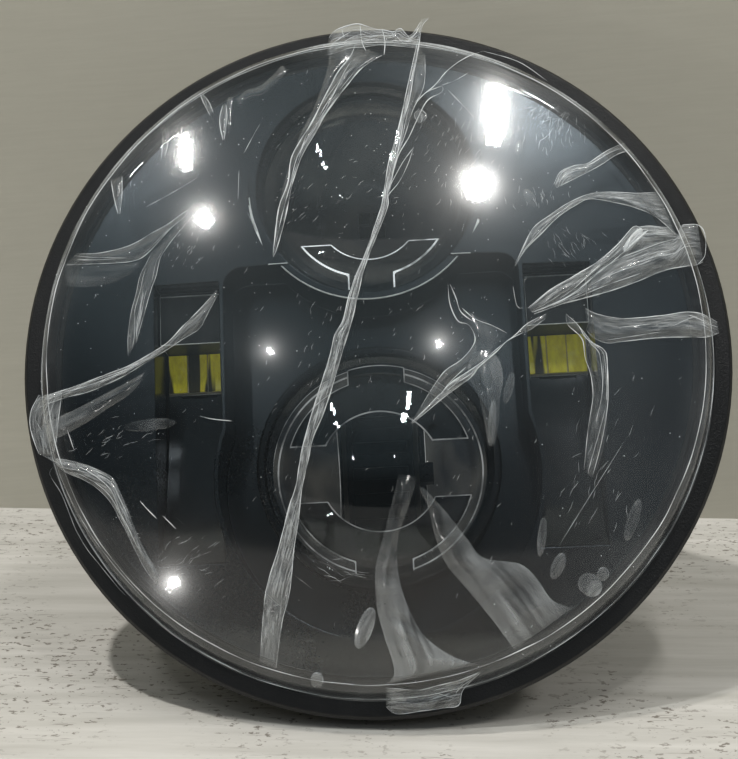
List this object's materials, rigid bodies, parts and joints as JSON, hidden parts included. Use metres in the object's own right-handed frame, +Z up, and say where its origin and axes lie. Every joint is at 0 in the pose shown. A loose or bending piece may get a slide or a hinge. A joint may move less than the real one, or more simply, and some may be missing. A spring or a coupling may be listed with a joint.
{
  "type": "motorcycle led headlight",
  "caption": "Round seven inch LED motorcycle headlight: finned die-cast housing, domed clear lens under a creased film, dark bezel with stacked round projectors and side reflectors.",
  "frame": {"origin": "on the lamp's axis in the plane of the flange's rear seat face", "axes": "+Z up, the lamp shines along -Y, +Y runs back along the housing and the cable inlet, +X to the right seen from the front"},
  "size_m": [0.178, 0.1138, 0.178],
  "materials": {
    "black_casting": "fine textured satin black powder coat",
    "cover_black": "satin black coat",
    "black_rubber": "matte moulded rubber",
    "sealant": "cured black sealant",
    "screw_steel": "zinc plated steel",
    "black_nylon": "moulded black nylon",
    "clear_lens": "clear hard coated polycarbonate",
    "clear_film": "creased clear protective film",
    "projector_glass": "clear moulded lens",
    "smoked_chrome": "dark metallised mirror gloss",
    "shade_chrome": "dark metallised plate",
    "reflector_chrome": "metallised reflector",
    "led_mount_metal": "dark anodised aluminium",
    "led_board_white": "cream solder mask",
    "led_board_black": "black solder mask",
    "yellow_phosphor": "yellow phosphor coating",
    "green_board": "green circuit board",
    "board_parts": "moulded electronic parts"
  },
  "bodies": {
    "root": {"housing": "black_casting", "rear_cover": "cover_black", "rear_cover_seal": "black_rubber", "rear_cover_screws": "screw_steel", "cable_gland": "black_nylon", "gland_locknut": "black_nylon", "gland_seal": "black_rubber", "vent_plug": "black_nylon", "lens_seal": "sealant", "outer_lens": "clear_lens", "protective_film": "clear_film", "bezel": "smoked_chrome", "upper_lens": "projector_glass", "upper_shade": "shade_chrome", "upper_reflector": "reflector_chrome", "upper_led_board": "led_board_black", "upper_led_chips": "yellow_phosphor", "lower_lens_ring": "smoked_chrome", "lower_lens": "projector_glass", "lower_top_shade": "shade_chrome", "lower_bottom_shade": "shade_chrome", "lower_reflector": "reflector_chrome", "lower_led_carrier": "led_mount_metal", "lower_led_boards": "led_board_white", "lower_led_chips": "yellow_phosphor", "lower_led_connector": "board_parts", "left_reflector": "reflector_chrome", "right_reflector": "reflector_chrome", "left_led_shelf": "led_mount_metal", "right_led_shelf": "led_mount_metal", "left_led_board": "led_board_white", "right_led_board": "led_board_white", "left_led_chips": "yellow_phosphor", "right_led_chips": "yellow_phosphor", "reflector_screws": "screw_steel", "driver_board": "green_board", "driver_parts": "board_parts", "driver_screws": "screw_steel"}
  },
  "joints": []
}
